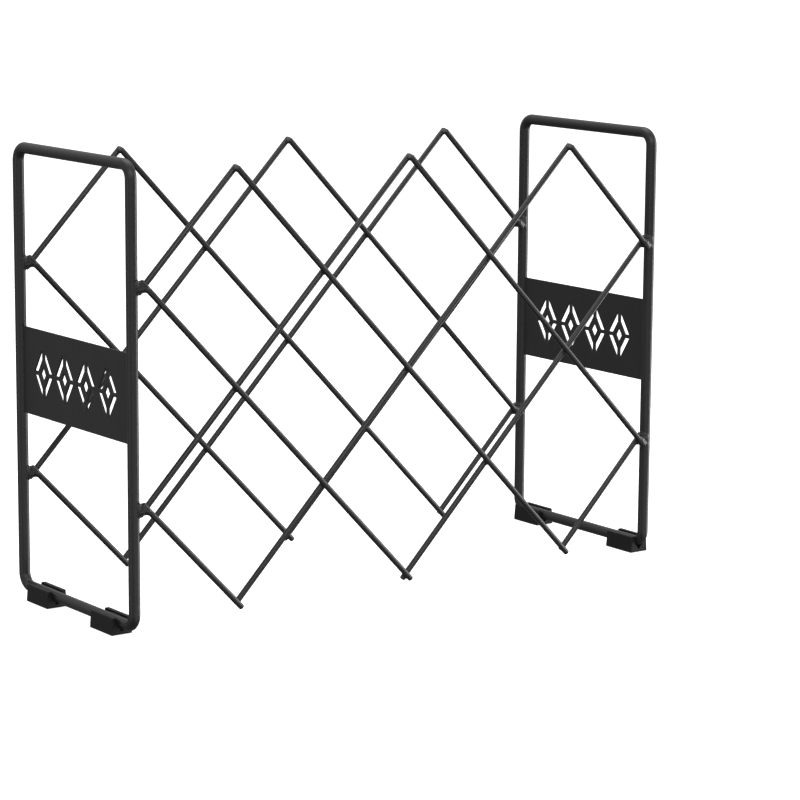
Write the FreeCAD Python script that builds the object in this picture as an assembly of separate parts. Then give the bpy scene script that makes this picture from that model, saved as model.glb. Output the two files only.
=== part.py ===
import FreeCAD, Part
import math
import os

# Eight-bottle wine rack: two bent-rod end loops carry a front and a rear lattice of crossed wires.
# A bottle lies along Y, its body in a cell of the rear lattice and its shoulder in the front one.
# Millimetres. +X runs along the rack's length, -Y is the front where the bottle necks point, +Z is up.
# The origin is on the floor, in the middle of the overall length and depth.

# ---- driving dimensions -------------------------------------------------------------------------
CELL_HALF_WIDTH = 76.0
CELL_HALF_HEIGHT = 79.0
HALF_CELLS_LONG = 6
HALF_CELLS_HIGH = 4

ROD_DIAMETER = 8.4          # 8 mm rod and its coat
WIRE_DIAMETER = 4.4         # 4 mm wire and its coat
WELD_SETDOWN = 0.3          # how far two crossed wires are pressed into each other
WIRE_END_ROUNDING = 1.0
SIDE_TAIL = 6.5             # wire left past a crossing at a post
BOTTOM_TAIL = 4.0           # the same at the bottom
PEAK_TAIL = 2.2             # the same for the rising wire at a peak
TUCKED_TAIL = 1.0           # the same where the end hardly passes the other wire

POST_SPACING = 159.0        # between the axes of a loop's two posts
LOOP_BEND_RADIUS = 10.0     # centre line
BAR_MARGIN = 6.25           # from a loop's bars to the lattice's outermost crossings
BOSS_DIAMETER = 7.5
BOSS_REACH = 9.0            # from a side crossing to the post's axis
BOSS_SHORTFALL = 1.0        # the boss stops this far before the post's axis
LATTICE_FORWARD = 2.5       # the lattices lie this far in front of the posts' axes

PANEL_HEIGHT = 65.0
PANEL_THICKNESS = 1.5

MOTIF_COUNT = 4
MOTIF_PITCH = 30.5
MOTIF_WIDTH = 27.0
MOTIF_HEIGHT = 42.0
MOTIF_STROKE = 4.2
MOTIF_BRIDGE = 3.0
MOTIF_EYE_WIDTH = 7.0

FOOT_LENGTH = 31.0
FOOT_BASE_WIDTH = 17.4
FOOT_TOP_WIDTH = 15.4
FOOT_FLOOR = 4.3            # plastic under the rod
FOOT_LIP_RISE = 0.3         # wall top above the rod
FOOT_ROUNDING = 0.8
FOOT_RELIEF_WIDTH = 2.6
FOOT_RELIEF_DEPTH = 1.5
SNAP_BEAD_LENGTH = 12.0
SNAP_BEAD_HEIGHT = 1.6
SNAP_BEAD_REACH = 0.7
SNAP_BEAD_RISE = 2.4        # of a bead's tip above the rod's axis
LEFT_FOOT_INSET = 17.5      # from the post's axis to the foot's near end
RIGHT_FOOT_INSET = 4.0

# ---- derived dimensions -------------------------------------------------------------------------
ROD_RADIUS = ROD_DIAMETER / 2
WIRE_RADIUS = WIRE_DIAMETER / 2
BOSS_RADIUS = BOSS_DIAMETER / 2
BOTTOM_BAR_Z = FOOT_FLOOR + ROD_RADIUS
LATTICE_Z = BOTTOM_BAR_Z + BAR_MARGIN
TOP_BAR_Z = LATTICE_Z + HALF_CELLS_HIGH * CELL_HALF_HEIGHT + BAR_MARGIN
POST_X = HALF_CELLS_LONG * CELL_HALF_WIDTH / 2 + BOSS_REACH
LAYER_OFFSET = (WIRE_DIAMETER - WELD_SETDOWN) / 2
WIRE_OVERHANG = LATTICE_FORWARD + LAYER_OFFSET + WIRE_RADIUS - ROD_RADIUS
LOOP_Y = WIRE_OVERHANG / 2
FRONT_POST_Y = LOOP_Y - POST_SPACING / 2
REAR_POST_Y = LOOP_Y + POST_SPACING / 2

X_AXIS = FreeCAD.Vector(1, 0, 0)
Y_AXIS = FreeCAD.Vector(0, 1, 0)

LATTICE_PLANES = {"front": FRONT_POST_Y - LATTICE_FORWARD, "rear": REAR_POST_Y - LATTICE_FORWARD}
SIDES = {"left": -1, "right": 1}

# The crossings that each straight wire runs between, as (column, row) from the lower left corner.
RISING_WIRES = {
    "left_peak_rising_wire": ((0, 3), (1, 4)),
    "middle_peak_rising_wire": ((0, 1), (3, 4)),
    "right_peak_rising_wire": ((1, 0), (5, 4)),
    "right_long_wire": ((3, 0), (6, 3)),
    "right_corner_wire": ((5, 0), (6, 1)),
}
FALLING_WIRES = {
    "left_peak_falling_wire": ((1, 4), (5, 0)),
    "middle_peak_falling_wire": ((3, 4), (6, 1)),
    "right_peak_falling_wire": ((5, 4), (6, 3)),
    "left_long_wire": ((0, 3), (3, 0)),
    "left_corner_wire": ((0, 1), (1, 0)),
}
BOTTOM_MIDDLE = (3, 0)


# ---- rods ---------------------------------------------------------------------------------------
def straight_rod(start, end, radius):
    return Part.makeCylinder(radius, (end - start).Length, start, end - start)


def bend_at(before, corner, after, bend_radius):
    """Start, end, centre, axis and angle in degrees of the arc that rounds a corner."""
    into = (corner - before).normalize()
    out = (after - corner).normalize()
    turn = into.getAngle(out)
    run = bend_radius * math.tan(turn / 2)
    axis = into.cross(out).normalize()
    start = corner - into * run
    centre = start + axis.cross(into) * bend_radius
    return start, corner + out * run, centre, axis, math.degrees(turn)


def elbow(bend, radius):
    start, _, centre, axis, angle = bend
    heading = axis.cross(centre - start)
    disc = Part.Face(Part.Wire(Part.makeCircle(radius, start, heading)))
    return disc.revolve(centre, axis, angle)


def bent_loop(corners, radius, bend_radius):
    """A closed round rod whose axis runs from corner to corner with an arc at each one."""
    count = len(corners)
    bends = [bend_at(corners[i - 1], corners[i], corners[(i + 1) % count], bend_radius) for i in range(count)]
    pieces = [elbow(bend, radius) for bend in bends]
    pieces += [straight_rod(bends[i - 1][1], bends[i][0], radius) for i in range(count)]
    return pieces[0].multiFuse(pieces[1:]).removeSplitter()


def round_rims(rod, tips):
    rims = [edge for edge in rod.Edges if any(edge.CenterOfMass.isEqual(tip, 1e-3) for tip in tips)]
    return rod.makeFillet(WIRE_END_ROUNDING, rims)


# ---- lattices -----------------------------------------------------------------------------------
def crossing(place, plane_y):
    column, row = place
    x = (column - HALF_CELLS_LONG / 2) * CELL_HALF_WIDTH
    return FreeCAD.Vector(x, plane_y, LATTICE_Z + row * CELL_HALF_HEIGHT)


def tail_length(place, rising):
    if place[1] == HALF_CELLS_HIGH:
        return PEAK_TAIL if rising else TUCKED_TAIL
    if place[1] > 0:
        return SIDE_TAIL
    if rising and place != BOTTOM_MIDDLE:
        return TUCKED_TAIL
    return BOTTOM_TAIL


def wire_tips(places, plane_y, rising):
    """The ends of a wire's axis. Falling wires lie in the front layer and rising wires in the rear one."""
    offset = Y_AXIS * (LAYER_OFFSET if rising else -LAYER_OFFSET)
    start, end = [crossing(place, plane_y) + offset for place in places]
    heading = (end - start).normalize()
    return start - heading * tail_length(places[0], rising), end + heading * tail_length(places[1], rising)


def lattice_wires(plane_y, loops):
    """One lattice's wires. Their tails are coped to the posts, and the rising wires to the falling ones."""
    wires = {}
    falling_rods = []
    for name, places in FALLING_WIRES.items():
        tips = wire_tips(places, plane_y, rising=False)
        rod = straight_rod(tips[0], tips[1], WIRE_RADIUS)
        falling_rods.append(rod)
        wires[name] = round_rims(rod, tips).cut(loops)
    for name, places in RISING_WIRES.items():
        tips = wire_tips(places, plane_y, rising=True)
        rod = straight_rod(tips[0], tips[1], WIRE_RADIUS)
        wires[name] = round_rims(rod, tips).cut(falling_rods + loops)
    return wires


# ---- end loops ----------------------------------------------------------------------------------
def side_loop(side):
    x = side * POST_X
    corners = [
        FreeCAD.Vector(x, FRONT_POST_Y, BOTTOM_BAR_Z),
        FreeCAD.Vector(x, FRONT_POST_Y, TOP_BAR_Z),
        FreeCAD.Vector(x, REAR_POST_Y, TOP_BAR_Z),
        FreeCAD.Vector(x, REAR_POST_Y, BOTTOM_BAR_Z),
    ]
    return bent_loop(corners, ROD_RADIUS, LOOP_BEND_RADIUS)


def boss(side, row, plane_y, loop, wires):
    """A stub that runs outwards from a side crossing and is coped to the post and to the wires."""
    column = 0 if side < 0 else HALF_CELLS_LONG
    start = crossing((column, row), plane_y)
    stub = Part.makeCylinder(BOSS_RADIUS, BOSS_REACH - BOSS_SHORTFALL, start, X_AXIS * side)
    return stub.cut([loop] + wires)


# ---- pierced panels -----------------------------------------------------------------------------
def diamond(half_width, half_height, x, y, z):
    """A diamond-shaped cutter in the YZ plane, thick enough to pierce a panel."""
    outline = [(half_width, 0), (0, half_height), (-half_width, 0), (0, -half_height), (half_width, 0)]
    corners = [FreeCAD.Vector(x - PANEL_THICKNESS, y + dy, z + dz) for dy, dz in outline]
    return Part.Face(Part.makePolygon(corners)).extrude(X_AXIS * (2 * PANEL_THICKNESS))


def bridge(length_y, length_z, x, y, z):
    corner = FreeCAD.Vector(x - PANEL_THICKNESS, y - length_y / 2, z - length_z / 2)
    return Part.makeBox(2 * PANEL_THICKNESS, length_y, length_z, corner)


def motif_cutter(x, y, z):
    """A diamond outline held by four bridges, with a small diamond eye in its middle."""
    slope = MOTIF_HEIGHT / MOTIF_WIDTH
    inset = MOTIF_STROKE / math.sin(math.atan(slope))
    outer = diamond(MOTIF_WIDTH / 2, MOTIF_HEIGHT / 2, x, y, z)
    inner = diamond(MOTIF_WIDTH / 2 - inset, MOTIF_HEIGHT / 2 - inset * slope, x, y, z)
    bars = [bridge(MOTIF_BRIDGE, MOTIF_HEIGHT, x, y, z), bridge(MOTIF_WIDTH, MOTIF_BRIDGE, x, y, z)]
    eye = diamond(MOTIF_EYE_WIDTH / 2, MOTIF_EYE_WIDTH / 2 * slope, x, y, z)
    return outer.cut([inner] + bars).fuse(eye)


def pierced_panel(side, loop):
    x = side * POST_X
    middle_z = (BOTTOM_BAR_Z + TOP_BAR_Z) / 2
    corner = FreeCAD.Vector(x - PANEL_THICKNESS / 2, FRONT_POST_Y, middle_z - PANEL_HEIGHT / 2)
    sheet = Part.makeBox(PANEL_THICKNESS, POST_SPACING, PANEL_HEIGHT, corner)
    first = LOOP_Y - MOTIF_PITCH * (MOTIF_COUNT - 1) / 2
    cutters = [motif_cutter(x, first + MOTIF_PITCH * i, middle_z) for i in range(MOTIF_COUNT)]
    return sheet.cut([loop] + cutters)


# ---- feet ---------------------------------------------------------------------------------------
def foot_block(x, low_y):
    """The foot's outside: a block whose sides spread towards the floor, with its edges rounded."""
    top = BOTTOM_BAR_Z + ROD_RADIUS + FOOT_LIP_RISE
    base = FOOT_BASE_WIDTH / 2
    head = FOOT_TOP_WIDTH / 2
    outline = [(-base, 0), (base, 0), (head, top), (-head, top), (-base, 0)]
    section = Part.Face(Part.makePolygon([FreeCAD.Vector(x + dx, low_y, z) for dx, z in outline]))
    block = section.extrude(Y_AXIS * FOOT_LENGTH)
    return block.makeFillet(FOOT_ROUNDING, block.Edges)


def foot_channel(x, low_y):
    """The open channel that the rod is pushed into, with a narrow relief below its round seat."""
    start = FreeCAD.Vector(x, low_y, BOTTOM_BAR_Z)
    seat = Part.makeCylinder(ROD_RADIUS, FOOT_LENGTH, start, Y_AXIS)
    mouth_corner = start - X_AXIS * ROD_RADIUS
    mouth = Part.makeBox(ROD_DIAMETER, FOOT_LENGTH, ROD_DIAMETER, mouth_corner)
    relief_corner = FreeCAD.Vector(x - FOOT_RELIEF_WIDTH / 2, low_y, FOOT_FLOOR - FOOT_RELIEF_DEPTH)
    relief = Part.makeBox(FOOT_RELIEF_WIDTH, FOOT_LENGTH, ROD_RADIUS, relief_corner)
    return seat.multiFuse([mouth, relief])


def snap_bead(x, inner_y, wall):
    """A ridge inside a wall that keeps the rod in its seat."""
    tip_z = BOTTOM_BAR_Z + SNAP_BEAD_RISE
    half = SNAP_BEAD_HEIGHT / 2
    outline = [(0, half), (-SNAP_BEAD_REACH, 0), (0, -half), (0, half)]
    corners = [FreeCAD.Vector(x + wall * (ROD_RADIUS + dx), inner_y, tip_z + dz) for dx, dz in outline]
    return Part.Face(Part.makePolygon(corners)).extrude(Y_AXIS * SNAP_BEAD_LENGTH)


def foot(side, end):
    """end is -1 for the front foot and 1 for the rear one."""
    x = side * POST_X
    inset = LEFT_FOOT_INSET if side < 0 else RIGHT_FOOT_INSET
    near_y = FRONT_POST_Y + inset if end < 0 else REAR_POST_Y - inset - FOOT_LENGTH
    inner_y = near_y + (FOOT_LENGTH - SNAP_BEAD_LENGTH) / 2
    body = foot_block(x, near_y).cut(foot_channel(x, near_y))
    beads = [snap_bead(x, inner_y, wall) for wall in (-1, 1)]
    return body.multiFuse(beads).removeSplitter()


# ---- the rack -----------------------------------------------------------------------------------
def build():
    nodes = {}
    loops = {name: side_loop(side) for name, side in SIDES.items()}
    for name, side in SIDES.items():
        nodes[name + "_side_loop"] = loops[name]
        nodes[name + "_pierced_panel"] = pierced_panel(side, loops[name])
        nodes[name + "_front_foot"] = foot(side, -1)
        nodes[name + "_rear_foot"] = foot(side, 1)
    for lattice, plane_y in LATTICE_PLANES.items():
        wires = lattice_wires(plane_y, list(loops.values()))
        nodes.update({lattice + "_" + name: shape for name, shape in wires.items()})
        for name, side in SIDES.items():
            for height, row in (("lower", 1), ("upper", 3)):
                stub = boss(side, row, plane_y, loops[name], list(wires.values()))
                nodes["_".join((lattice, name, height, "boss"))] = stub
    return nodes


def write(nodes):
    os.makedirs("parts", exist_ok=True)
    for name, shape in nodes.items():
        shape.exportStep("parts/" + name + ".step")
        print(name, "solids", len(shape.Solids), "valid", shape.isValid(), "volume", round(shape.Volume, 1))


write(build())
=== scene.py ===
"""Looks of the eight-bottle wine rack: fine rods, welds, coated sheet, moulded feet, and a pale studio."""
import math

import bmesh
import bpy
import numpy as np
from mathutils import Matrix, Vector


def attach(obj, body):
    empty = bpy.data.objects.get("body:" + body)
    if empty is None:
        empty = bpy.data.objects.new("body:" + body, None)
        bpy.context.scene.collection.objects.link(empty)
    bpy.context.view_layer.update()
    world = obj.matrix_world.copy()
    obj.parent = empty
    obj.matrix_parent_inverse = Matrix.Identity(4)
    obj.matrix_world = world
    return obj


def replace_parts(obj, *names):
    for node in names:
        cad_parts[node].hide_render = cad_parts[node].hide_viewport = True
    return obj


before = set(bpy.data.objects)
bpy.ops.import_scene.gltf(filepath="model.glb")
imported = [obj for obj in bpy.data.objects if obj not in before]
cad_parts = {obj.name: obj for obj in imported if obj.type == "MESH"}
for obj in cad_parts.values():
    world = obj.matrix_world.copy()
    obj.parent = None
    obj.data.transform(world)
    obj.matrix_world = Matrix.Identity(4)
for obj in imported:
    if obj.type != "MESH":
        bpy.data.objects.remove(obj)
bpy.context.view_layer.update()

MM = 0.001

# ---- the rack's dimensions, in millimetres ------------------------------------------------------
CELL_HALF_WIDTH = 76.0
CELL_HALF_HEIGHT = 79.0
HALF_CELLS_LONG = 6
HALF_CELLS_HIGH = 4
ROD_RADIUS = 4.2
WIRE_RADIUS = 2.2
LAYER_OFFSET = 2.05
SIDE_TAIL = 6.5
PEAK_TAIL = 2.2
BOTTOM_TAIL = 4.0
TUCKED_TAIL = 1.0
LOOP_BEND_RADIUS = 10.0
BOSS_RADIUS = 3.75
BOSS_REACH = 9.0
BOSS_LENGTH = 8.0
LATTICE_FORWARD = 2.5
POST_X = 237.0
FRONT_POST_Y = -78.225
REAR_POST_Y = 80.775
LOOP_Y = 1.275
BOTTOM_BAR_Z = 8.5
TOP_BAR_Z = 337.0
LATTICE_Z = 14.75
PANEL_HEIGHT = 65.0
PANEL_THICKNESS = 1.5
MOTIF_COUNT = 4
MOTIF_PITCH = 30.5
MOTIF_WIDTH = 27.0
MOTIF_HEIGHT = 42.0
MOTIF_STROKE = 4.2
MOTIF_BRIDGE = 3.0
MOTIF_EYE_WIDTH = 7.0

SIDES = {"left": -1, "right": 1}
LATTICE_PLANES = {"front": FRONT_POST_Y - LATTICE_FORWARD, "rear": REAR_POST_Y - LATTICE_FORWARD}
RISING_WIRES = {
    "left_peak_rising_wire": ((0, 3), (1, 4)),
    "middle_peak_rising_wire": ((0, 1), (3, 4)),
    "right_peak_rising_wire": ((1, 0), (5, 4)),
    "right_long_wire": ((3, 0), (6, 3)),
    "right_corner_wire": ((5, 0), (6, 1)),
}
FALLING_WIRES = {
    "left_peak_falling_wire": ((1, 4), (5, 0)),
    "middle_peak_falling_wire": ((3, 4), (6, 1)),
    "right_peak_falling_wire": ((5, 4), (6, 3)),
    "left_long_wire": ((0, 3), (3, 0)),
    "left_corner_wire": ((0, 1), (1, 0)),
}
BOTTOM_MIDDLE = (3, 0)
INNER_CROSSINGS = [(2, 1), (4, 1), (1, 2), (3, 2), (5, 2), (2, 3), (4, 3)]
TUCKED_CROSSINGS = [(1, 0), (5, 0)]
PEAKS = [(1, 4), (3, 4), (5, 4)]
SIDE_ROWS = {"lower": 1, "upper": 3}

# ---- fineness of the meshes and size of the finish's details ------------------------------------
ROD_FACETS = 64
WIRE_FACETS = 40
ARC_STEPS = 20
TIP_STEPS = 6
WIRE_TIP_ROUNDING = 1.0
BOSS_TIP_ROUNDING = 0.5
WELD_BLEND = 1.9          # how far a weld spreads out of a crease
WELD_RIPPLE = 0.45        # how uneven its bead is, as a share of its size
WELD_RIPPLE_PITCH = 3.2
WELD_DEPTH = 0.4          # how deep a weld's own mesh reaches into the rods
WELD_FEATHER = 0.012      # height of a weld's rim over the rods
WELD_GRID = 0.24
WELD_LEG = 16.0           # length of wire that a weld is shaped against
WELD_POST_LEG = 30.0
CROSS_BOX = (-8, -5, -8), (8, 5, 8)
LEFT_BOX = (-14, -6, -10), (8, 8, 10)
RIGHT_BOX = (-8, -6, -10), (14, 8, 10)
SHEET_EDGE_ROUNDING = 0.3
SHEET_SINK = 3.0          # from a post's axis to the sheet's end inside it
SLOT_ROUNDING = 0.3
EYE_ROUNDING = 0.4
SEAM_RADIUS = 0.8
SEAM_STEPS = 8
SEAM_END_GAP = 0.3
SEAM_SHEET_SINK = 0.3
SEAM_POST_SINK = 1.2

# ---- the studio: metres, watts and degrees ------------------------------------------------------
FLOOR_GLOW = 0.78
FLOOR_HALF = 24.0
DOME_RADIUS = 23.0
DOME_GLOW = 1.05
WORLD_LOW = 0.16
WORLD_HIGH = 0.75
RACK_MIDDLE = (0, 0, 0.17)
SOFTBOXES = (
    # name, place, width, height, watts
    ("top_softbox", (0.1, 0.5, 2.2), 2.0, 1.6, 16),
    ("right_softbox", (2.3, -0.75, 0.1), 1.3, 2.0, 34),
    ("front_softbox", (-0.5, -2.1, 1.6), 1.4, 1.2, 11),
    ("front_bounce", (-1.5, -2.06, -0.3), 2.2, 1.4, 4),
    ("floor_bounce", (0.4, -2.1, -1.0), 2.4, 1.6, 9),
    ("left_fill", (-2.2, -1.5, 1.4), 1.0, 1.4, 5),
    ("left_bounce", (-2.4, 0.2, -0.3), 1.6, 1.4, 4),
)
CAMERA_PLACE = (-1.2706, -1.8005, 0.5379)
CAMERA_AZIMUTH = 36.30
CAMERA_DOWN = 10.306
CAMERA_ROLL = 0.438
CAMERA_LENS = 131.07


# ---- mesh helpers -------------------------------------------------------------------------------
def new_piece(name, vertices, faces, slot, smooth_angle=40):
    """A mesh piece from millimetre points that rides on the rack and takes its finish from a slot."""
    mesh = bpy.data.meshes.new(name)
    mesh.from_pydata([tuple(float(c) * MM for c in v) for v in vertices], [], faces)
    mesh.validate()
    mesh.update()
    piece = bpy.data.objects.new(name, mesh)
    bpy.context.scene.collection.objects.link(piece)
    return dress(piece, slot, smooth_angle)


def dress(piece, slot, smooth_angle=40):
    mesh = piece.data
    mesh.shade_smooth()
    mesh.set_sharp_from_angle(angle=math.radians(smooth_angle))
    mesh.materials.clear()
    mesh.materials.append(MATERIALS[slot])
    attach(piece, "root")
    return piece


def arc_points(before, corner, after, bend_radius):
    """Points of the arc that rounds a corner, from its start to its end."""
    into = (corner - before).normalized()
    out = (after - corner).normalized()
    turn = into.angle(out)
    axis = into.cross(out).normalized()
    start = corner - into * (bend_radius * math.tan(turn / 2))
    centre = start + axis.cross(into) * bend_radius
    arm = start - centre
    return [centre + Matrix.Rotation(turn * i / ARC_STEPS, 3, axis) @ arm for i in range(ARC_STEPS + 1)]


def rounded_loop(corners, bend_radius):
    count = len(corners)
    path = []
    for i in range(count):
        path += arc_points(corners[i - 1], corners[i], corners[(i + 1) % count], bend_radius)
    return path


def ring(centre, across, up, radius, facets):
    angles = [2 * math.pi * i / facets for i in range(facets)]
    return [centre + (across * math.cos(a) + up * math.sin(a)) * radius for a in angles]


def headings(path, closed):
    count = len(path)
    found = []
    for i in range(count):
        before = path[i - 1] if closed or i else path[0]
        after = path[(i + 1) % count] if closed or i < count - 1 else path[-1]
        found.append((after - before).normalized())
    return found


def rod_mesh(path, radius, facets, closed=False, tip_rounding=WIRE_TIP_ROUNDING):
    """Vertices and faces of a round rod along a path. Open ends are rounded at their rims."""
    ways = headings(path, closed)
    across = ways[0].orthogonal().normalized()
    rings = []
    for i, (point, way) in enumerate(zip(path, ways)):
        if i:
            across = ways[i - 1].rotation_difference(way) @ across
        across = (across - way * across.dot(way)).normalized()
        up = way.cross(across)
        tip = not closed and i in (0, len(path) - 1)
        if not tip:
            rings.append(ring(point, across, up, radius, facets))
            continue
        inward = way if i == 0 else -way
        rounds = []
        for k in range(TIP_STEPS + 1):
            a = math.pi / 2 * k / TIP_STEPS
            place = point + inward * (tip_rounding * (1 - math.cos(a)))
            rounds.append(ring(place, across, up, radius - tip_rounding * (1 - math.sin(a)), facets))
        rings += rounds if i == 0 else rounds[::-1]
    vertices = [v for one in rings for v in one]
    faces = []
    last = len(rings) if closed else len(rings) - 1
    for i in range(last):
        a, b = i * facets, (i + 1) % len(rings) * facets
        for k in range(facets):
            n = (k + 1) % facets
            faces.append((a + k, a + n, b + n, b + k))
    if not closed:
        for end, centre in ((0, path[0]), (len(rings) - 1, path[-1])):
            vertices.append(centre)
            hub = len(vertices) - 1
            for k in range(facets):
                n = (k + 1) % facets
                rim = (n, k) if end == 0 else (k, n)
                faces.append((hub, end * facets + rim[0], end * facets + rim[1]))
    return vertices, faces


def surface_nets(field, origin, step):
    """Quads round the region where a sampled field is negative, as vertices and faces."""
    inside = field < 0
    shape = np.array(field.shape) - 1
    corner_slices = [tuple(slice(o, o + n) for o, n in zip(offset, shape)) for offset in np.ndindex(2, 2, 2)]
    corners = np.stack([inside[s] for s in corner_slices])
    active = corners.any(0) & ~corners.all(0)
    total = np.zeros((*shape, 3))
    hits = np.zeros(shape)
    offsets = list(np.ndindex(2, 2, 2))
    for i, a in enumerate(offsets):
        for j, b in enumerate(offsets):
            if sum(b) - sum(a) != 1 or any(q < p for p, q in zip(a, b)):
                continue
            fa, fb = field[corner_slices[i]], field[corner_slices[j]]
            cut = (fa < 0) != (fb < 0)
            share = np.where(cut, fa / np.where(cut, fa - fb, 1.0), 0.0)
            spot = np.array(a) + share[..., None] * (np.array(b) - np.array(a))
            total += np.where(cut[..., None], spot, 0.0)
            hits += cut
    cells = np.argwhere(active)
    number = -np.ones(shape, int)
    number[active] = np.arange(len(cells))
    vertices = origin + step * (cells + total[active] / hits[active][:, None])
    quads = []
    for axis in range(3):
        ahead = [slice(None)] * 3
        behind = [slice(None)] * 3
        ahead[axis], behind[axis] = slice(1, None), slice(None, -1)
        first, second = inside[tuple(behind)], inside[tuple(ahead)]
        edges = np.argwhere(first != second)
        u, v = np.eye(3, dtype=int)[(axis + 1) % 3], np.eye(3, dtype=int)[(axis + 2) % 3]
        around = [edges - u - v, edges - v, edges, edges - u]
        four = np.stack([number[tuple(c.T)] for c in around], 1)
        leaving = first[tuple(edges.T)]
        quads.append(np.where(leaving[:, None], four, four[:, ::-1]))
    return vertices, np.concatenate(quads)


# ---- lattices -----------------------------------------------------------------------------------
def crossing(place, plane_y):
    column, row = place
    x = (column - HALF_CELLS_LONG / 2) * CELL_HALF_WIDTH
    return Vector((x, plane_y, LATTICE_Z + row * CELL_HALF_HEIGHT))


def tail_length(place, rising):
    if place[1] == HALF_CELLS_HIGH:
        return PEAK_TAIL if rising else TUCKED_TAIL
    if place[1] > 0:
        return SIDE_TAIL
    return TUCKED_TAIL if rising and place != BOTTOM_MIDDLE else BOTTOM_TAIL


def wire_path(places, plane_y, rising):
    """The tips of a wire's axis. Falling wires lie in front, rising ones behind."""
    offset = Vector((0, LAYER_OFFSET if rising else -LAYER_OFFSET, 0))
    start, end = [crossing(place, plane_y) + offset for place in places]
    heading = (end - start).normalized()
    return [start - heading * tail_length(places[0], rising), end + heading * tail_length(places[1], rising)]


def make_wires():
    for lattice, plane_y in LATTICE_PLANES.items():
        for rising, wires in ((True, RISING_WIRES), (False, FALLING_WIRES)):
            for name, places in wires.items():
                node = lattice + "_" + name
                mesh = rod_mesh(wire_path(places, plane_y, rising), WIRE_RADIUS, WIRE_FACETS)
                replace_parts(new_piece(node + "_coated", *mesh, "wire_coat"), node)


def make_bosses():
    for lattice, plane_y in LATTICE_PLANES.items():
        for side, sign in SIDES.items():
            for height, row in SIDE_ROWS.items():
                node = "_".join((lattice, side, height, "boss"))
                start = crossing((0 if sign < 0 else HALF_CELLS_LONG, row), plane_y)
                path = [start, start + Vector((sign * BOSS_LENGTH, 0, 0))]
                mesh = rod_mesh(path, BOSS_RADIUS, ROD_FACETS, tip_rounding=BOSS_TIP_ROUNDING)
                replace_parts(new_piece(node + "_coated", *mesh, "wire_coat"), node)


# ---- welds --------------------------------------------------------------------------------------
def rod_distance(points, start, end, radius):
    """Distance from points to a round rod with flat ends."""
    start, end = np.array(start, float), np.array(end, float)
    length = np.linalg.norm(end - start)
    along = (points - start) @ ((end - start) / length)
    beside = np.linalg.norm(points - start - along[..., None] * ((end - start) / length), axis=-1)
    x, y = beside - radius, np.abs(along - length / 2) - length / 2
    return np.minimum(np.maximum(x, y), 0) + np.hypot(np.maximum(x, 0), np.maximum(y, 0))


def ripple(points):
    """The uneven bead of a hand-made weld, between -1 and 1."""
    x, y, z = np.moveaxis(points, -1, 0) * (2 * math.pi / WELD_RIPPLE_PITCH)
    return (np.sin(x + 1.3 * np.sin(y)) + np.sin(y + 1.7 * np.sin(z)) + np.sin(z + 1.1 * np.sin(x))) / 3


def weld_mesh(rods, low, high):
    """The smooth fillet that fills the creases between rods, a little way into them."""
    axes = [np.arange(a, b, WELD_GRID) for a, b in zip(low, high)]
    points = np.stack(np.meshgrid(*axes, indexing="ij"), -1)
    fullness = WELD_BLEND / 4 * (1 + WELD_RIPPLE * ripple(points))
    sharp = soft = rod_distance(points, *rods[0])
    for rod in rods[1:]:
        other = rod_distance(points, *rod)
        share = np.maximum(WELD_BLEND - np.abs(soft - other), 0) / WELD_BLEND
        soft = np.minimum(soft, other) - share * share * fullness
        sharp = np.minimum(sharp, other)
    field = np.maximum.reduce([soft, -sharp - WELD_DEPTH, WELD_FEATHER - (sharp - soft)])
    for axis in range(3):
        for edge in (0, -1):
            rim = [slice(None)] * 3
            rim[axis] = edge
            field[tuple(rim)] = WELD_GRID
    return surface_nets(field, np.array(low, float), WELD_GRID)


def leg_through(rising, tail_before, tail_after):
    """A wire through the origin. It ends tail_before or tail_after past it, or runs on where that is None."""
    way = np.array([CELL_HALF_WIDTH, 0, CELL_HALF_HEIGHT if rising else -CELL_HALF_HEIGHT])
    way = way / np.linalg.norm(way)
    layer = np.array([0, LAYER_OFFSET if rising else -LAYER_OFFSET, 0])
    start = layer - way * (WELD_LEG if tail_before is None else tail_before)
    end = layer + way * (WELD_LEG if tail_after is None else tail_after)
    return start, end, WIRE_RADIUS


def side_rods(sign):
    before, after = (SIDE_TAIL, None) if sign < 0 else (None, SIDE_TAIL)
    stub = ((0, 0, 0), (sign * BOSS_LENGTH, 0, 0), BOSS_RADIUS)
    post_x = sign * BOSS_REACH
    low, high = [(post_x, LATTICE_FORWARD, end * WELD_POST_LEG) for end in (-1, 1)]
    post = (low, high, ROD_RADIUS)
    return [leg_through(False, before, after), leg_through(True, before, after), stub, post]


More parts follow.
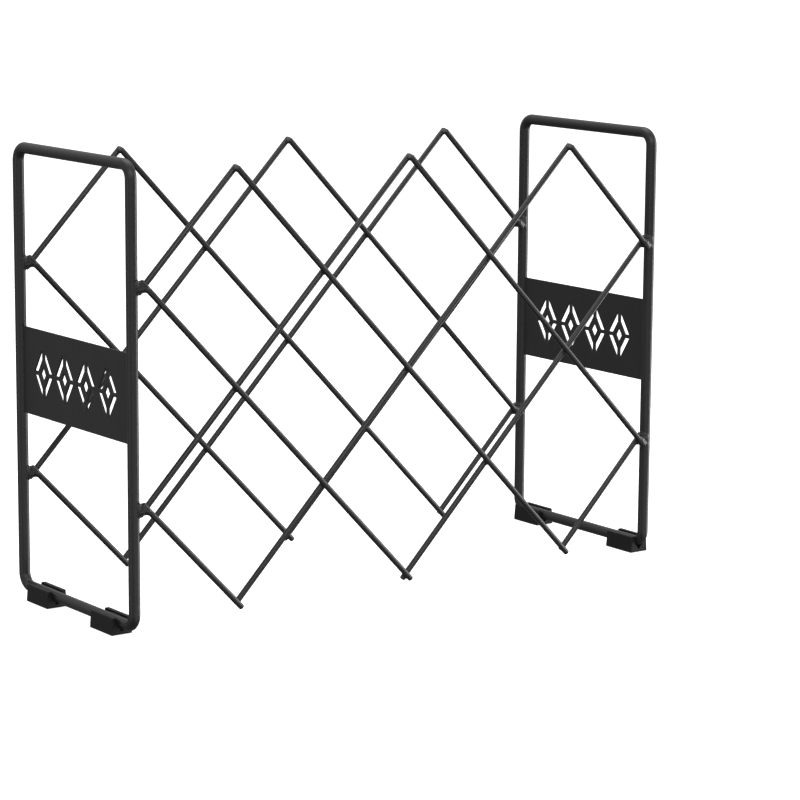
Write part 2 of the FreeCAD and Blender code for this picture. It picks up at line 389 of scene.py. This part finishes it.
def make_welds():
    inner = [leg_through(False, None, None), leg_through(True, None, None)]
    tucked = [leg_through(False, None, BOTTOM_TAIL), leg_through(True, TUCKED_TAIL, None)]
    middle = [leg_through(False, None, BOTTOM_TAIL), leg_through(True, BOTTOM_TAIL, None)]
    peak = [leg_through(False, TUCKED_TAIL, None), leg_through(True, None, PEAK_TAIL)]
    inner, tucked, middle, peak = (weld_mesh(rods, *CROSS_BOX) for rods in (inner, tucked, middle, peak))
    left = weld_mesh(side_rods(-1), *LEFT_BOX)
    right = weld_mesh(side_rods(1), *RIGHT_BOX)
    places = [(place, inner) for place in INNER_CROSSINGS]
    places += [(place, tucked) for place in TUCKED_CROSSINGS]
    places += [(place, peak) for place in PEAKS]
    places.append((BOTTOM_MIDDLE, middle))
    for row in SIDE_ROWS.values():
        places += [((0, row), left), ((HALF_CELLS_LONG, row), right)]
    for lattice, plane_y in LATTICE_PLANES.items():
        vertices, faces, count = [], [], 0
        for place, (points, quads) in places:
            vertices.append(points + np.array(crossing(place, plane_y)))
            faces.append(quads + count)
            count += len(points)
        all_faces = [tuple(int(i) for i in q) for q in np.concatenate(faces)]
        welds = new_piece(lattice + "_lattice_welds", np.concatenate(vertices), all_faces, "wire_coat")
        welds.data.materials[0] = MATERIALS["weld_coat"]


# ---- end loops and panels -----------------------------------------------------------------------
def make_loops():
    for side, sign in SIDES.items():
        x = sign * POST_X
        corners = [
            Vector((x, FRONT_POST_Y, BOTTOM_BAR_Z)),
            Vector((x, FRONT_POST_Y, TOP_BAR_Z)),
            Vector((x, REAR_POST_Y, TOP_BAR_Z)),
            Vector((x, REAR_POST_Y, BOTTOM_BAR_Z)),
        ]
        mesh = rod_mesh(rounded_loop(corners, LOOP_BEND_RADIUS), ROD_RADIUS, ROD_FACETS, closed=True)
        node = side + "_side_loop"
        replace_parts(new_piece(node + "_coated", *mesh, "rod_coat"), node)


def rounded_outline(corners, radius, steps=5):
    """A flat outline with its corners rounded."""
    points = []
    count = len(corners)
    for i, corner in enumerate(corners):
        before, after = Vector(corners[i - 1]), Vector(corners[(i + 1) % count])
        corner = Vector(corner)
        into, out = (corner - before).normalized(), (after - corner).normalized()
        run = radius * math.tan(into.angle(out) / 2)
        start, end = corner - into * run, corner + out * run
        for k in range(steps + 1):
            t = k / steps
            points.append(start * (1 - t) ** 2 + corner * 2 * t * (1 - t) + end * t * t)
    return points


def motif_outlines(y, z):
    """The four slots and the eye of one pierced diamond."""
    slope = MOTIF_HEIGHT / MOTIF_WIDTH
    inset = MOTIF_STROKE / math.sin(math.atan(slope))
    outer, inner, half = MOTIF_WIDTH / 2, MOTIF_WIDTH / 2 - inset, MOTIF_BRIDGE / 2
    slot = [
        (half, (inner - half) * slope),
        (half, (outer - half) * slope),
        (outer - half / slope, half),
        (inner - half / slope, half),
    ]
    outlines = []
    for sy in (-1, 1):
        for sz in (-1, 1):
            corners = [(y + sy * a, z + sz * b) for a, b in slot]
            outlines.append(rounded_outline(corners, SLOT_ROUNDING))
    eye = MOTIF_EYE_WIDTH / 2
    corners = [(y + eye, z), (y, z + eye * slope), (y - eye, z), (y, z - eye * slope)]
    outlines.append(rounded_outline(corners, EYE_ROUNDING))
    return outlines


def make_panels():
    middle_z = (BOTTOM_BAR_Z + TOP_BAR_Z) / 2
    low_y, high_y = FRONT_POST_Y + SHEET_SINK, REAR_POST_Y - SHEET_SINK
    low_z, high_z = middle_z - PANEL_HEIGHT / 2, middle_z + PANEL_HEIGHT / 2
    first = LOOP_Y - MOTIF_PITCH * (MOTIF_COUNT - 1) / 2
    outlines = [[Vector(c) for c in ((low_y, low_z), (high_y, low_z), (high_y, high_z), (low_y, high_z))]]
    for i in range(MOTIF_COUNT):
        outlines += motif_outlines(first + MOTIF_PITCH * i, middle_z)
    for side, sign in SIDES.items():
        node = side + "_pierced_panel"
        curve = bpy.data.curves.new(node + "_outline", "CURVE")
        curve.dimensions = "2D"
        curve.fill_mode = "BOTH"
        curve.extrude = (PANEL_THICKNESS / 2 - SHEET_EDGE_ROUNDING) * MM
        curve.bevel_depth = SHEET_EDGE_ROUNDING * MM
        curve.offset = -SHEET_EDGE_ROUNDING * MM
        curve.bevel_resolution = 3
        for outline in outlines:
            spline = curve.splines.new("POLY")
            spline.points.add(len(outline) - 1)
            for point, (y, z) in zip(spline.points, outline):
                point.co = (y * MM, z * MM, 0, 1)
            spline.use_cyclic_u = True
        holder = bpy.data.objects.new(node + "_outline", curve)
        bpy.context.scene.collection.objects.link(holder)
        graph = bpy.context.evaluated_depsgraph_get()
        mesh = bpy.data.meshes.new_from_object(holder.evaluated_get(graph))
        bpy.data.objects.remove(holder)
        mesh.name = node + "_coated"
        mesh.transform(Matrix(((0, 0, 1, sign * POST_X * MM), (1, 0, 0, 0), (0, 1, 0, 0), (0, 0, 0, 1))))
        sheet = bmesh.new()
        sheet.from_mesh(mesh)
        bmesh.ops.remove_doubles(sheet, verts=sheet.verts, dist=0.002 * MM)
        bmesh.ops.recalc_face_normals(sheet, faces=sheet.faces)
        sheet.to_mesh(mesh)
        sheet.free()
        piece = bpy.data.objects.new(mesh.name, mesh)
        bpy.context.scene.collection.objects.link(piece)
        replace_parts(dress(piece, "panel_coat", 25), node)
        even = piece.modifiers.new("flat_faces_stay_flat", "WEIGHTED_NORMAL")
        even.keep_sharp = True
        even.weight = 100


def seam_section():
    """The concave fillet between the sheet's face and the post, as (x, y) from the post's axis."""
    half = PANEL_THICKNESS / 2
    reach = ROD_RADIUS + SEAM_RADIUS
    centre = Vector((half + SEAM_RADIUS, math.sqrt(reach ** 2 - (half + SEAM_RADIUS) ** 2)))
    from_post = math.atan2(-centre.y, -centre.x)
    points = []
    for k in range(SEAM_STEPS + 1):
        a = from_post + (-math.pi - from_post) * k / SEAM_STEPS
        points.append(centre + Vector((math.cos(a), math.sin(a))) * SEAM_RADIUS)
    inner_x = half - SEAM_SHEET_SINK
    return points + [Vector((inner_x, points[-1].y)), Vector((inner_x, ROD_RADIUS - SEAM_POST_SINK))]


def make_seams():
    section = seam_section()
    middle_z = (BOTTOM_BAR_Z + TOP_BAR_Z) / 2
    half_run = PANEL_HEIGHT / 2 - SEAM_END_GAP
    count = len(section)
    for side, sign in SIDES.items():
        vertices, faces = [], []
        for post_y, inward in ((FRONT_POST_Y, 1), (REAR_POST_Y, -1)):
            for face in (-1, 1):
                base = len(vertices)
                for z in (middle_z - half_run, middle_z + half_run):
                    vertices += [(sign * POST_X + face * p.x, post_y + inward * p.y, z) for p in section]
                flip = inward * face > 0
                for k in range(count):
                    n = (k + 1) % count
                    quad = (base + k, base + n, base + count + n, base + count + k)
                    faces.append(quad if flip else quad[::-1])
                cap = tuple(range(base, base + count))
                top = tuple(range(base + count, base + 2 * count))
                faces += [cap[::-1], top] if flip else [cap, top[::-1]]
        new_piece(side + "_panel_welds", vertices, faces, "panel_coat", 50)


# ---- materials ----------------------------------------------------------------------------------
class Graph:
    """Short ways to add and join shader nodes."""

    def __init__(self, name):
        self.material = bpy.data.materials.new(name)
        self.material.use_nodes = True
        self.nodes = self.material.node_tree.nodes
        self.links = self.material.node_tree.links
        self.shader = self.nodes["Principled BSDF"]
        self.place = self.nodes.new("ShaderNodeTexCoord").outputs["Object"]

    def noise(self, size_mm, detail=2.0, roughness=0.5):
        node = self.nodes.new("ShaderNodeTexNoise")
        node.inputs["Scale"].default_value = 1 / (size_mm * MM)
        node.inputs["Detail"].default_value = detail
        node.inputs["Roughness"].default_value = roughness
        self.links.new(self.place, node.inputs["Vector"])
        return node.outputs["Fac"]

    def remap(self, value, from_low, from_high, to_low, to_high):
        node = self.nodes.new("ShaderNodeMapRange")
        limits = {"From Min": from_low, "From Max": from_high, "To Min": to_low, "To Max": to_high}
        for name, number in limits.items():
            node.inputs[name].default_value = number
        self.links.new(value, node.inputs["Value"])
        return node.outputs["Result"]

    def math(self, operation, a, b):
        node = self.nodes.new("ShaderNodeMath")
        node.operation = operation
        for socket, value in zip(node.inputs, (a, b)):
            if isinstance(value, (int, float)):
                socket.default_value = value
            else:
                self.links.new(value, socket)
        return node.outputs["Value"]

    def mix(self, share, a, b):
        node = self.nodes.new("ShaderNodeMix")
        node.data_type = "RGBA"
        for name, value in (("Factor", share), ("A", a), ("B", b)):
            socket = next(s for s in node.inputs if s.name == name and s.enabled)
            if isinstance(value, tuple):
                socket.default_value = (*value, 1)
            else:
                self.links.new(value, socket)
        return next(s for s in node.outputs if s.enabled)

    def edges(self, radius_mm):
        """1 on sharp outer edges and creases, 0 on open surfaces."""
        bevel = self.nodes.new("ShaderNodeBevel")
        bevel.samples = 6
        bevel.inputs["Radius"].default_value = radius_mm * MM
        flat = self.nodes.new("ShaderNodeNewGeometry")
        dot = self.nodes.new("ShaderNodeVectorMath")
        dot.operation = "DOT_PRODUCT"
        self.links.new(bevel.outputs["Normal"], dot.inputs[0])
        self.links.new(flat.outputs["Normal"], dot.inputs[1])
        return self.remap(dot.outputs["Value"], 0.97, 0.75, 0.0, 1.0)

    def bump(self, height, distance_mm, strength, onto=None):
        node = self.nodes.new("ShaderNodeBump")
        node.inputs["Strength"].default_value = strength
        node.inputs["Distance"].default_value = distance_mm * MM
        self.links.new(height, node.inputs["Height"])
        if onto is not None:
            self.links.new(onto, node.inputs["Normal"])
        return node.outputs["Normal"]

    def finish(self, colour, roughness, normal, specular=0.5):
        self.links.new(colour, self.shader.inputs["Base Color"])
        self.links.new(roughness, self.shader.inputs["Roughness"])
        self.links.new(normal, self.shader.inputs["Normal"])
        self.shader.inputs["Specular IOR Level"].default_value = specular
        return self.material


def powder_coat(name, dark, light, worn, roughness, peel_mm, peel_height):
    """Black powder coat: cloudy colour, soft orange peel, fine grain, and paler, smoother edges."""
    graph = Graph(name)
    cloud = graph.remap(graph.noise(24, 3), 0.3, 0.7, 0, 1)
    mottle = graph.remap(graph.noise(2.2, 2), 0.3, 0.7, 0, 1)
    colour = graph.mix(graph.math("MULTIPLY", graph.math("ADD", cloud, mottle), 0.5), dark, light)
    rim = graph.math("MULTIPLY", graph.edges(0.5), graph.remap(graph.noise(3.5, 4, 0.6), 0.35, 0.65, 0.25, 1))
    colour = graph.mix(rim, colour, worn)
    rough = graph.remap(graph.noise(6, 4, 0.6), 0.3, 0.7, roughness - 0.05, roughness + 0.06)
    rough = graph.math("SUBTRACT", rough, graph.math("MULTIPLY", rim, 0.08))
    peel = graph.bump(graph.noise(peel_mm, 1), peel_height, 0.6)
    grain = graph.bump(graph.noise(0.35, 2), 0.012, 0.5, peel)
    return graph.finish(colour, rough, grain)


def moulded_plastic(name, dark, light, worn, roughness):
    """Black moulded plastic with a fine spark-eroded grain and flow clouds."""
    graph = Graph(name)
    cloud = graph.remap(graph.noise(9, 3), 0.3, 0.7, 0, 1)
    colour = graph.mix(cloud, dark, light)
    rim = graph.math("MULTIPLY", graph.edges(0.5), graph.remap(graph.noise(1.8, 3), 0.35, 0.65, 0.3, 1))
    colour = graph.mix(rim, colour, worn)
    rough = graph.remap(graph.noise(4, 3), 0.3, 0.7, roughness - 0.06, roughness + 0.06)
    sink = graph.bump(graph.noise(7, 1), 0.08, 0.4)
    grain = graph.bump(graph.noise(0.28, 3, 0.7), 0.03, 0.8, sink)
    return graph.finish(colour, rough, grain, 0.28)


ROD_TONES = (0.0090, 0.0081, 0.0095), (0.0140, 0.0126, 0.0146), (0.034, 0.031, 0.035)
SHEET_TONES = (0.0100, 0.0088, 0.0106), (0.0150, 0.0136, 0.0158), (0.036, 0.034, 0.037)
PLASTIC_TONES = (0.0042, 0.0040, 0.0043), (0.0068, 0.0064, 0.0070), (0.014, 0.013, 0.014)
MATERIALS = {
    "rod_coat": powder_coat("rod_powder_coat", *ROD_TONES, 0.33, 1.6, 0.03),
    "wire_coat": powder_coat("wire_powder_coat", *ROD_TONES, 0.27, 1.3, 0.02),
    "weld_coat": powder_coat("weld_powder_coat", *ROD_TONES, 0.24, 0.9, 0.05),
    "panel_coat": powder_coat("panel_powder_coat", *SHEET_TONES, 0.48, 1.8, 0.03),
    "foot_plastic": moulded_plastic("foot_black_plastic", *PLASTIC_TONES, 0.52),
}


def dress_feet():
    for name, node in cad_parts.items():
        if name.endswith("_foot"):
            node.data.materials.clear()
            node.data.materials.append(MATERIALS["foot_plastic"])


# ---- the studio ---------------------------------------------------------------------------------
def unseen_by_the_object(thing):
    """The camera sees this, but it neither lights the object nor shows in its gloss."""
    thing.visible_diffuse = False
    thing.visible_glossy = False
    thing.visible_transmission = False
    thing.visible_shadow = False


def make_floor():
    mesh = bpy.data.meshes.new("studio_floor")
    corners = [(x * FLOOR_HALF, y * FLOOR_HALF, 0) for x, y in ((-1, -1), (1, -1), (1, 1), (-1, 1))]
    mesh.from_pydata(corners, [], [(0, 1, 2, 3)])
    floor = bpy.data.objects.new("studio_floor", mesh)
    bpy.context.scene.collection.objects.link(floor)
    graph = Graph("studio_floor_paint")
    tone = graph.mix(graph.noise(400, 2), (0.84, 0.84, 0.84), (0.86, 0.86, 0.86))
    graph.links.new(tone, graph.shader.inputs["Base Color"])
    graph.shader.inputs["Roughness"].default_value = 0.9
    graph.shader.inputs["Specular IOR Level"].default_value = 0.0
    graph.shader.inputs["Emission Color"].default_value = (1, 1, 1, 1)
    graph.shader.inputs["Emission Strength"].default_value = FLOOR_GLOW
    mesh.materials.append(graph.material)
    unseen_by_the_object(floor)


def make_backdrop():
    """A white dome round the floor, so that the horizon doesn't show."""
    mesh = bpy.data.meshes.new("studio_backdrop")
    dome = bmesh.new()
    bmesh.ops.create_uvsphere(dome, u_segments=48, v_segments=24, radius=DOME_RADIUS)
    dome.to_mesh(mesh)
    dome.free()
    backdrop = bpy.data.objects.new("studio_backdrop", mesh)
    bpy.context.scene.collection.objects.link(backdrop)
    graph = Graph("studio_backdrop_white")
    graph.shader.inputs["Base Color"].default_value = (0, 0, 0, 1)
    graph.shader.inputs["Specular IOR Level"].default_value = 0.0
    graph.shader.inputs["Emission Color"].default_value = (1, 1, 1, 1)
    graph.shader.inputs["Emission Strength"].default_value = DOME_GLOW
    mesh.materials.append(graph.material)
    unseen_by_the_object(backdrop)


def softbox(name, place, aim, width, height, watts):
    data = bpy.data.lights.new(name, "AREA")
    data.shape = "RECTANGLE"
    data.size = width
    data.size_y = height
    data.energy = watts
    lamp = bpy.data.objects.new(name, data)
    bpy.context.scene.collection.objects.link(lamp)
    lamp.location = place
    lamp.rotation_euler = (Vector(aim) - Vector(place)).to_track_quat("-Z", "Y").to_euler()
    lamp.visible_camera = False
    return lamp


def make_world():
    """Soft surroundings that grow brighter from the floor to the ceiling."""
    world = bpy.data.worlds.new("studio_surroundings")
    bpy.context.scene.world = world
    world.use_nodes = True
    nodes, links = world.node_tree.nodes, world.node_tree.links
    way = nodes.new("ShaderNodeTexCoord")
    parts = nodes.new("ShaderNodeSeparateXYZ")
    rise = nodes.new("ShaderNodeMapRange")
    rise.interpolation_type = "SMOOTHSTEP"
    limits = {"From Min": -0.6, "From Max": 0.9, "To Min": WORLD_LOW, "To Max": WORLD_HIGH}
    for name, number in limits.items():
        rise.inputs[name].default_value = number
    links.new(way.outputs["Generated"], parts.inputs["Vector"])
    links.new(parts.outputs["Z"], rise.inputs["Value"])
    links.new(rise.outputs["Result"], nodes["Background"].inputs["Strength"])
    nodes["Background"].inputs["Color"].default_value = (1, 1, 1, 1)


def make_light():
    make_world()
    for name, place, width, height, watts in SOFTBOXES:
        softbox(name, place, RACK_MIDDLE, width, height, watts)
    bpy.context.scene.view_settings.view_transform = "Standard"


def make_camera():
    azimuth, down, roll = (math.radians(angle) for angle in (CAMERA_AZIMUTH, CAMERA_DOWN, CAMERA_ROLL))
    level = Vector((math.sin(azimuth), math.cos(azimuth), 0))
    ahead = level * math.cos(down) - Vector((0, 0, math.sin(down)))
    right = Vector((math.cos(azimuth), -math.sin(azimuth), 0))
    up = right.cross(ahead)
    tilted_right = right * math.cos(roll) + up * math.sin(roll)
    tilted_up = up * math.cos(roll) - right * math.sin(roll)
    data = bpy.data.cameras.new("camera")
    data.sensor_width = 36
    data.lens = CAMERA_LENS
    data.clip_start, data.clip_end = 0.05, 200
    camera = bpy.data.objects.new("camera", data)
    bpy.context.scene.collection.objects.link(camera)
    turn = Matrix((tilted_right, tilted_up, -ahead)).transposed()
    camera.matrix_world = Matrix.Translation(CAMERA_PLACE) @ turn.to_4x4()
    bpy.context.scene.camera = camera


make_loops()
make_wires()
make_bosses()
make_welds()
make_panels()
make_seams()
dress_feet()
make_floor()
make_backdrop()
make_light()
make_camera()
